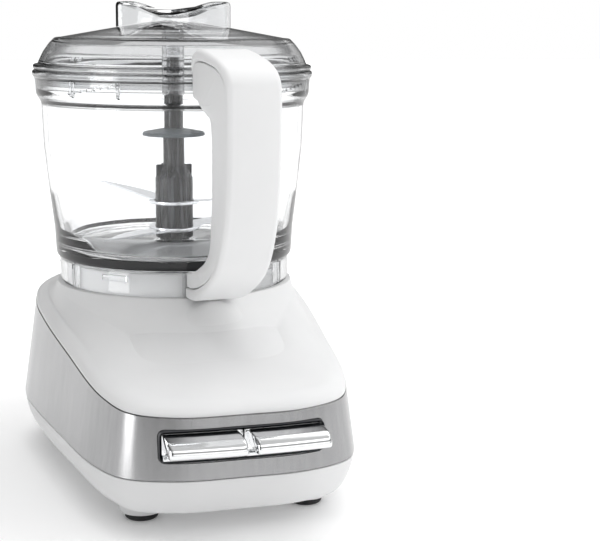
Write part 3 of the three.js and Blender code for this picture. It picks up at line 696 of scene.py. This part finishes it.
def make_bowl():
    outer = [(58, 88.7), (58.2, 101.4), (59.8, 102.2), (60.2, 106), (60.6, 115.2), (62.9, 135.5),
             (65.1, 156.7), (65.9, 178.6), (68.4, 182.6), (69.0, 190.9), (RIM_R, 191.3), (RIM_R, RIM_Z)]
    inner = [(66.8, RIM_Z), (66.6, 185), (63.6, 180), (62.8, 156.7), (60.4, 135.5), (57, 115.6),
             (53.5, 107.6), (49, 105.2), (10, 105.2), (6.9, 107), (6.9, 135.6), (4.7, 135.6),
             (4.7, 102.8), (54.2, 102.8), (54, 88.7)]
    wall = lathe(rounded(outer + inner, 1.6, steps=4), 192)
    skirt_rib = rounded([(53.6, 90), (58.9, 90), (59.1, 100.6), (53.6, 100.6)], 0.4, steps=2)
    skirt_lug = rounded([(57.6, 95.8), (59.2, 95.8), (59.2, 98.6), (57.6, 98.6)], 0.4, steps=2)
    collar_rib = rounded([(66.4, 182.8), (69.5, 183.6), (69.6, 190.6), (66.6, 190.6)], 0.4, steps=2)
    details = [sector(skirt_rib, at, at + 1.1, 2) for at in (20, 75, 140, 200, 262, 320)]
    details += [sector(skirt_lug, at, at + 13) for at in (32, 152, 222, 300)]
    details += [sector(collar_rib, at, at + 0.9, 2) for at in (15, 62, 118, 176, 214, 236, 330)]
    for at in (30, 120, 210, 300):
        for k in range(8):
            z = 184.2 + 4.6 * k / 8
            thread = [(68.2, z), (69.4, z), (69.4, z + 0.9), (68.2, z + 0.9)]
            details.append(sector(thread, at + 3.2 * k, at + 3.2 * (k + 1), 2))
    pads = [turned_about_z(block(66.5, 71.2, -8, 8, 184, 189), HANDLE_TURN - pi / 2),
            turned_about_z(block(55.8, 58.6, -10, 10, 90.5, 101), HANDLE_TURN - pi / 2)]
    made = piece("bowl_clear", together(wall, *details, *pads), CLEAR, "bowl", ["bowl"], crisp=30)
    recolour(made, BASE_RING, *DARK_RING_Z, DARK_RING_R)


# ------------------------------------------------------------------ handle
# Each station: the outer face's [r, z], the finger side's [r, z], and how far the finger side is scooped.
HANDLE = [(71.6, 200.6, 71.6, 184.4, 0), (73.4, 205, 73.6, 183.7, 0), (80, 206.5, 75.4, 183.5, 0),
          (90, 205.8, 77.4, 183.1, 0), (100, 204.2, 79.4, 182.2, 0), (111, 201.8, 81.8, 180.2, 0.05),
          (119, 198.4, 83.4, 177.2, 0.35), (123.3, 194, 84.4, 173.4, 0.85), (124.5, 187, 84.9, 167.6, 1),
          (124.5, 165, 85.2, 158, 1), (122.8, 145, 84.8, 142, 1), (118.6, 128, 83.4, 127, 1),
          (112, 114.6, 81.9, 116.4, 0.9), (104, 105.8, 79.4, 110.2, 0.5), (94, 99.4, 75.6, 106.4, 0.15),
          (80, 92.6, 70.6, 103.9, 0), (68, 89.2, 64.5, 102.6, 0), (58.9, 88.9, 58.9, 101.6, 0)]
SEAM = 5.5                       # depth of the outer cap, back from its face
GRIP_EDGE = 1.6                  # rounding of the finger side's edges away from the scoop
SCOOP_DEEP, SCOOP_WIDE = 20, 6.2     # what a full scoop adds to that rounding
SCOOP_STEP = 0.55                # the narrow step that frames the scoop


def handle_rings(start, stop, half, outer_r, scoop):
    """Rings round the part of the handle that lies from start to stop behind its outer face."""
    c, s = cos(HANDLE_TURN - pi / 2), sin(HANDLE_TURN - pi / 2)
    rings = []
    stations = spline(HANDLE, 6)
    for index, (ro, zo, ri, zi, share) in enumerate(stations):
        length = hypot(ri - ro, zi - zo)
        d0, d1 = start, length if stop is None else min(stop, length)
        share = share if scoop else 0
        deep, wide = GRIP_EDGE + SCOOP_DEEP * share, GRIP_EDGE + SCOOP_WIDE * share
        step = SCOOP_STEP * min(1, 2 * share)
        half_ring = [(d0 + outer_r * (1 - sin(a)), half - outer_r * (1 - cos(a)))
                     for a in (pi / 2 * (1 - k / 6) for k in range(7))]
        half_ring += [(d1 - deep - 0.3, half), (d1 - deep, half - step)]
        half_ring += [(d1 - deep * (1 - sin(a)), half - step - wide * (1 - cos(a)))
                      for a in (pi / 2 * k / 9 for k in range(1, 10))]
        end = min(index, len(stations) - 1 - index)
        tuck = max(0.0, 1.2 - 0.5 * end) if end < 3 else 0.0
        ring = []
        for depth, across in half_ring + [(d, -v) for d, v in reversed(half_ring)]:
            depth = min(max(depth, d0 + tuck), d1 - tuck)
            across = max(-half + tuck, min(half - tuck, across))
            r = ro + (ri - ro) * depth / length
            ring.append((r * c - across * s, r * s + across * c, zo + (zi - zo) * depth / length))
        rings.append(ring)
    return rings


def make_handle():
    piece("handle_cap", skin(handle_rings(0, SEAM, HANDLE_HALF, 2.6, False)), WHITE, "bowl",
          ["handle_shell"], crisp=60)
    piece("handle_grip", skin(handle_rings(SEAM + 0.5, None, HANDLE_HALF - 0.6, 0.5, True)), WHITE, "bowl",
          ["handle_shell", "handle_liner"], crisp=26)


# ------------------------------------------------------------------ lid
LID_TOP = [(69.5, 194.8), (69.5, 197.1), (67.2, 197.4), (66.2, 199.6), (64.2, 203.6), (61.4, 207.4),
           (58.6, 210.2), (56.4, 210.3), (30, 215), (8, 218.4), (0, 219)]


def dome(r):
    """Height of the lid's top surface at a radius."""
    for (r0, z0), (r1, z1) in zip(LID_TOP, LID_TOP[1:]):
        if r1 <= r <= r0:
            return z0 + (z1 - z0) * (r0 - r) / max(r0 - r1, 1e-9)
    return LID_TOP[-1][1]


def make_lid():
    under = [(0, 216.6), (3.5, 216.4), (3.5, 179.2), (5.6, 179.2), (5.6, 214.6), (30, 212.8), (55.6, 208.2),
             (58.6, 206.6), (62.2, 201.8), (64, 197.6), (64, 187.4), (66.2, 187.4), (66.2, 194.8)]
    profile = rounded(list(reversed(LID_TOP)) + list(reversed(under)), 0.8, False, 4)
    shape = lathe(profile, 192)
    lug = rounded([(63.8, 189.6), (66.4, 189.6), (66.4, 191.4), (63.8, 191.4)], 0.3, steps=2)
    mark = rounded([(65.4, 199.6), (66.6, 199.8), (65.6, 201.8), (64.6, 201.4)], 0.3, steps=2)
    lugs = [sector(lug, at, at + 14) for at in (20, 110, 200, 290)]
    marks = [sector(mark, at, at + 2.2, 2) for at in (212, 216, 316, 320)]
    piece("lid_clear", together(shape, *lugs, *marks), CLEAR, "lid", ["lid"], crisp=30)


KNOB = {"reach": 28.6, "sway": 9.5, "half": 8.2, "top": 228.0, "dip": 5.5, "wall": 1.6, "curl": 0.72,
        "turn": radians(-12)}


def knob_ring(inset, level):
    """The grip's S-shaped outline moved in by inset; level gives its height from [x, y, t]."""
    k = KNOB
    upper, lower = [], []
    steps = 40
    for i in range(steps + 1):
        t = -cos(pi * i / steps)
        half = max(0.1, (k["half"] - inset) * sqrt(max(0.0, 1 - t ** 4)))
        reach = k["reach"] - inset
        curl = pi * k["curl"]
        slope = -k["sway"] * curl * cos(curl * t) / reach
        nx, ny = -slope / hypot(1, slope), 1 / hypot(1, slope)
        for line, side in ((upper, half), (lower, -half)):
            along, across = reach * t + nx * side * (1 - t ** 4), -k["sway"] * sin(curl * t) + ny * side
            x = along * cos(k["turn"]) - across * sin(k["turn"])
            y = along * sin(k["turn"]) + across * cos(k["turn"])
            line.append((x, y, level(x, y, t)))
    return lower + upper[::-1]


def make_knob():
    k = KNOB

    def top(drop):
        return lambda x, y, t: k["top"] - k["dip"] * cos(pi * t / 2) ** 2 - drop

    def base(x, y, t):
        return dome(hypot(x, y)) + GAP

    w = k["wall"]
    rings = [knob_ring(inset, level) for inset, level in (
        (w + 0.6, top(w)), (w, top(w + 0.8)), (w, base), (0, base), (0, top(2.2)), (0.15, top(1.2)),
        (0.7, top(0.35)), (1.6, top(0)), (4, top(-0.1)), (7, top(-0.1)))]
    piece("lid_grip", skin(rings), CLEAR, "lid", ["lid_knob"], crisp=45)


# ------------------------------------------------------------------ blade and spindle
def make_hub():
    profile = [(0, 203), (2.4, 203), (3.1, 201), (3.1, 178.6), (4.4, 178.2), (4.4, 165.4), (15.5, 163.4),
               (16, 161.6), (5.4, 160.6), (5.4, 146), (9.6, 140), (9.6, 107.6),
               (7.3, 107.6), (7.3, 137), (0, 137)]
    smooth = [(max(0.0, r), z) for r, z in rounded(profile, 0.7, False, 4)]
    ribs = [turned_about_z(block(3.9, 4.8, -0.6, 0.6, 165, 177.6, 0.25), 2 * pi * k / 6) for k in range(6)]
    webs = [turned_about_z(block(5.2, 9.2, -0.6, 0.6, 140.5, 146.5, 0.25), 2 * pi * k / 6) for k in range(6)]
    made = piece("blade_stem", together(lathe(smooth, 96), *ribs, *webs), STEM, "blade", ["blade_hub"])
    recolour(made, DISC, *DISC_Z, DISC_INNER_R)


def make_blade(name, z, turn, tilt):
    """Two curved arms with ground edges on a collar."""
    def bezier(a, b, c, t):
        return [(1 - t) ** 2 * u + 2 * t * (1 - t) * v + t * t * w for u, v, w in zip(a, b, c)]

    stations, thick = 56, 1.2
    scallops, scallop = 9, 0.45      # scallops of the cutting edge along an arm, and their depth
    ground = 0.32                    # share of the arm's width that is ground to the edge
    arms = []
    for half_turn in (0, pi):
        rings = []
        for i in range(stations + 1):
            t = i / stations
            lx, ly = bezier((8, -6.3), (34, -11), (52, 3), t)
            bx, by = bezier((8, 6.6), (30, 3), (52, 3.2), t)
            ly += scallop * abs(sin(pi * scallops * t)) * (0 if t < 0.15 else 1)
            gx, gy = lx + (bx - lx) * ground, ly + (by - ly) * ground
            ring = [(lx, ly, 0.55), (gx, gy, 0.0), (bx, by, 0.0), (bx, by, thick),
                    (gx, gy, thick), (lx, ly, 0.65)]
            rings.append([(x * cos(tilt) + pz * sin(tilt), y, pz * cos(tilt) - x * sin(tilt))
                          for x, y, pz in ring])
        arms.append(turned_about_z(skin(rings), half_turn))
    collar = lathe(rounded([(9.75, -0.2), (13, -0.2), (13, 1.8), (9.75, 1.8)], 0.4, steps=3), 96)
    points, faces = turned_about_z(together(*arms, collar), turn)
    shape = [(x, y, pz + z) for x, y, pz in points], faces
    piece(name + "_ground", shape, BLADE, "blade", [name], crisp=20)


def make_spindle():
    shaft = lathe([(0, 12), (3.2, 12), (3.5, 12.3), (3.5, 17), (4, 17), (4, 136.2), (3.6, 136.6),
                   (0, 136.6)], 64)
    r, flat, sides = 3.9, 1.5, 48
    ring = [(r * cos(2 * pi * k / sides), max(-flat, min(flat, r * sin(2 * pi * k / sides))))
            for k in range(sides)]
    dog = skin([[(x * s, y * s, z) for x, y in ring] for s, z in ((1, 136), (1, 140.4), (0.88, 141))])
    piece("drive_spindle", together(shaft, dog), STEEL, "drive", ["spindle"])
    seal = rounded([(8, 92.5), (8, 100.3), (10.4, 100.3), (10.4, 101.6), (7, 102.4), (5, 102.3),
                    (4.4, 101.6), (4.4, 92.5)], 0.4, steps=3)
    piece("shaft_seal", lathe(seal, 96), RUBBER, "base", ["spindle_seal"])


# ------------------------------------------------------------------ studio
CAMERA_AT = (-146.38, -701.77, 221.85)
CAMERA_LENS = 84.23
CAMERA_HEADING, CAMERA_DOWN, CAMERA_ROLL = -16.96, 10.31, 0.446


def make_camera():
    data = bpy.data.cameras.new("camera")
    data.lens, data.sensor_width = CAMERA_LENS, 36
    data.clip_start, data.clip_end = 0.05, 50
    camera = bpy.data.objects.new("camera", data)
    heading, pitch, roll = radians(CAMERA_HEADING), radians(90 - CAMERA_DOWN), radians(CAMERA_ROLL)
    turn = Matrix.Rotation(heading, 4, "Z") @ Matrix.Rotation(pitch, 4, "X") @ Matrix.Rotation(roll, 4, "Z")
    camera.matrix_world = Matrix.Translation(placed(CAMERA_AT)) @ turn
    bpy.context.scene.collection.objects.link(camera)
    bpy.context.scene.camera = camera


def soft_light(name, at, size, watts, mirrored=False, target=(0, -30, 90)):
    """A rectangular light that either lights the surfaces or only shows in reflections."""
    data = bpy.data.lights.new(name, "AREA")
    data.shape, data.size, data.size_y, data.energy = "RECTANGLE", size[0], size[1], watts
    light = bpy.data.objects.new(name, data)
    light.location = placed(at)
    light.rotation_euler = (placed(target) - light.location).to_track_quat("-Z", "Y").to_euler()
    light.visible_glossy, light.visible_diffuse = mirrored, not mirrored
    bpy.context.scene.collection.objects.link(light)


def make_studio():
    world = bpy.data.worlds.new("studio")
    bpy.context.scene.world = world
    world.use_nodes = True
    tree = Tree(world.node_tree)
    seen = world.node_tree.nodes["Background"]
    direction = tree.node("ShaderNodeTexCoord", out="Generated")
    up = tree.node("ShaderNodeSeparateXYZ", None, {0: direction}, out=2)
    back = tree.node("ShaderNodeSeparateXYZ", None, {0: direction}, out=1)
    across = tree.node("ShaderNodeSeparateXYZ", None, {0: direction}, out=0)
    stripes = 0.45 + tree.ramp(up, 0.02, 0.08, 0, 0.65) - tree.ramp(up, 0.3, 0.36, 0, 0.8)
    stripes = stripes + tree.ramp(up, 0.5, 0.56, 0, 1.0) - tree.ramp(up, 0.8, 0.88, 0, 0.8)
    sides = 0.12 + tree.ramp(across, -0.45, 0.15, 0, 1.1) - tree.ramp(across, 0.45, 0.8, 0, 0.7)
    room = stripes * sides * tree.ramp(back, 0.7, 0.92, 1.0, 0.12)
    glossy = tree.node("ShaderNodeLightPath", out="Is Glossy Ray")
    through = tree.node("ShaderNodeLightPath", out="Is Transmission Ray")
    diffuse = tree.node("ShaderNodeLightPath", out="Is Diffuse Ray")
    mirror = glossy * (1 - through)
    around = tree.ramp(up, -0.1, 0.9, 0.02, 1.15) * tree.ramp(across, -0.9, 0.3, 0.3, 1.0)
    level = mirror * room + (1 - mirror) * (diffuse * around + (1 - diffuse))
    tree.feed(seen.inputs["Color"], level)
    soft_light("overhead", (60, 40, 950), (0.9, 0.9), 4.2)
    soft_light("right", (800, -300, 500), (0.6, 0.8), 1.6)
    soft_light("left edge", (-900, -330, 200), (0.4, 0.9), 6.0, mirrored=True)

    floor = bpy.data.meshes.new("studio floor")
    half = 6
    corners = [(-half, -half, 0), (half, -half, 0), (half, half, 0), (-half, half, 0)]
    floor.from_pydata(corners, [], [(0, 1, 2, 3)])
    ground = bpy.data.objects.new("studio floor", floor)
    bpy.context.scene.collection.objects.link(ground)
    paper = Finish("pale paper", None, {"Roughness": 0.7})
    paper.set("Base Color", paper.blend(paper.grain(90), (0.89, 0.89, 0.893), (0.93, 0.93, 0.93)))
    away = paper.node("ShaderNodeVectorMath", {"operation": "LENGTH"}, {0: paper.place}, out="Value")
    glossy = paper.node("ShaderNodeLightPath", out="Is Glossy Ray")
    through = paper.node("ShaderNodeLightPath", out="Is Transmission Ray")
    glow = paper.ramp(away, 0.12, 0.75, 0.0, 1.0) * (1 - 0.8 * glossy * (1 - through))
    paper.set("Emission Color", paper.blend(glow, (0.12, 0.12, 0.12), (0.75, 0.75, 0.75)))
    paper.set("Emission Strength", 1.0)
    floor.materials.append(paper.material)
    bpy.context.scene.view_settings.view_transform = "Standard"


def finish_carried_nodes():
    """The CAD nodes that still show take their slot's finish, but the interlock rod is white."""
    slots = {part["node"]: part["material_slot"] for part in frame["record"]["subparts"]}
    for name, node in frame["nodes"].items():
        finish = WHITE if name == "interlock_rod" else FINISHES[slots[name]]
        node.data.materials.clear()
        node.data.materials.append(finish.material)


make_camera()
finish_carried_nodes()
make_housing()
make_band()
make_cover()
make_landing()
make_feet()
make_gland()
make_paddles()
make_bezel()
make_bowl()
make_handle()
make_lid()
make_knob()
make_hub()
make_blade("blade_lower", 112, radians(35), 0)
make_blade("blade_upper", 126, radians(125), radians(-8))
make_spindle()
make_studio()
